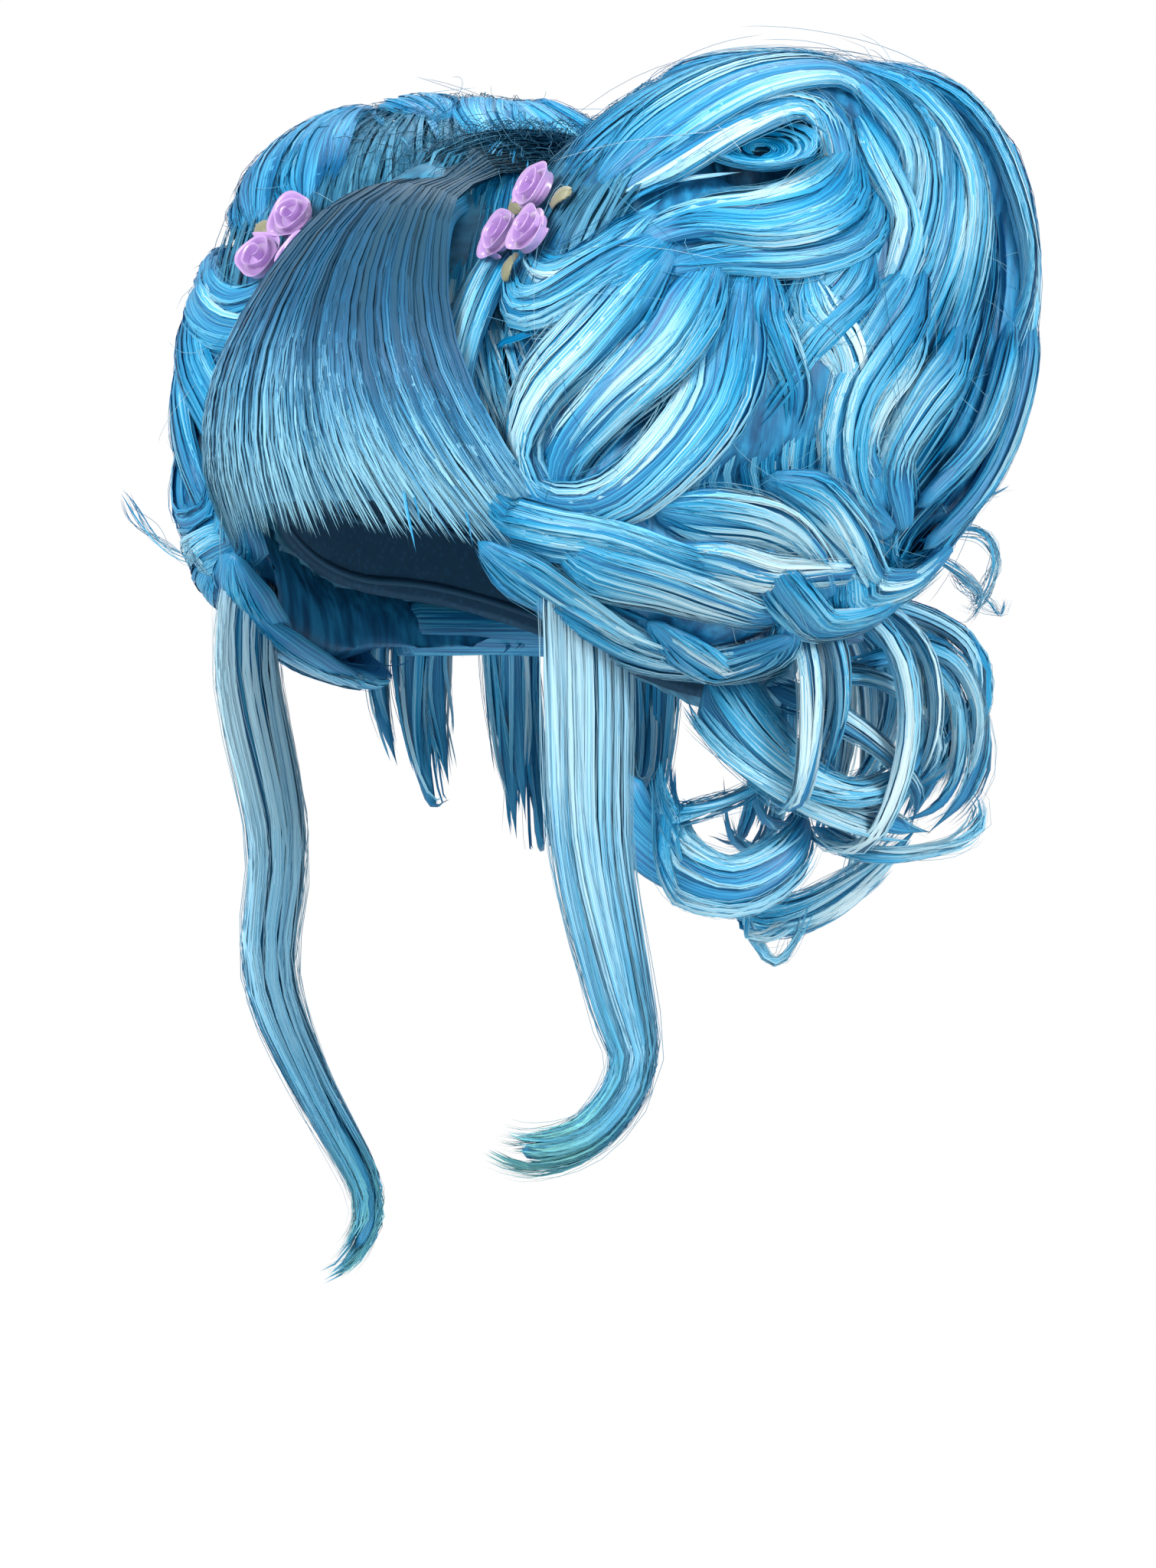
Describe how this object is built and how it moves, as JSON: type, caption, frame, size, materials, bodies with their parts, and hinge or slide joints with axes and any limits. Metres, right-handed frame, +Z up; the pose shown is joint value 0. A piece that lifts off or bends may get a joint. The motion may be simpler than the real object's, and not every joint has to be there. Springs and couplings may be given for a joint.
{
  "type": "curled costume wig",
  "caption": "Costume wig with a swept fringe, high curled side puffs, nape curls, long temple tendrils and ribbon rose clusters.",
  "frame": {"origin": "the highest point of the cap's hollow, where the wig rests on the top of the head", "axes": "+Z up, -Y the way the fringe faces, +X the wearer's left"},
  "size_m": [0.2846, 0.2607, 0.3934],
  "materials": {
    "cap_net": "matte net",
    "hair": "glossy synthetic hair",
    "rose_satin": "satin ribbon",
    "leaf_ribbon": "satin ribbon",
    "weft_band": "matte stitched band"
  },
  "bodies": {
    "root": {"cap": "cap_net", "crown_hair_left_front": "hair", "crown_hair_left_back": "hair", "crown_hair_right_front": "hair", "crown_hair_right_back": "hair", "fringe": "hair", "side_puff_left": "hair", "tendril_left": "hair", "nape_curls_left": "hair", "side_puff_right": "hair", "tendril_right": "hair", "nape_curls_right": "hair", "nape_curls_back": "hair", "rose_left_1": "rose_satin", "leaf_left_1": "leaf_ribbon", "rose_left_2": "rose_satin", "leaf_left_2": "leaf_ribbon", "rose_left_3": "rose_satin", "leaf_left_3": "leaf_ribbon", "weft_end_left_1": "weft_band", "weft_end_left_2": "weft_band", "rose_right_1": "rose_satin", "leaf_right_1": "leaf_ribbon", "rose_right_2": "rose_satin", "leaf_right_2": "leaf_ribbon", "rose_right_3": "rose_satin", "leaf_right_3": "leaf_ribbon", "weft_end_right_1": "weft_band", "weft_end_right_2": "weft_band"}
  },
  "joints": []
}
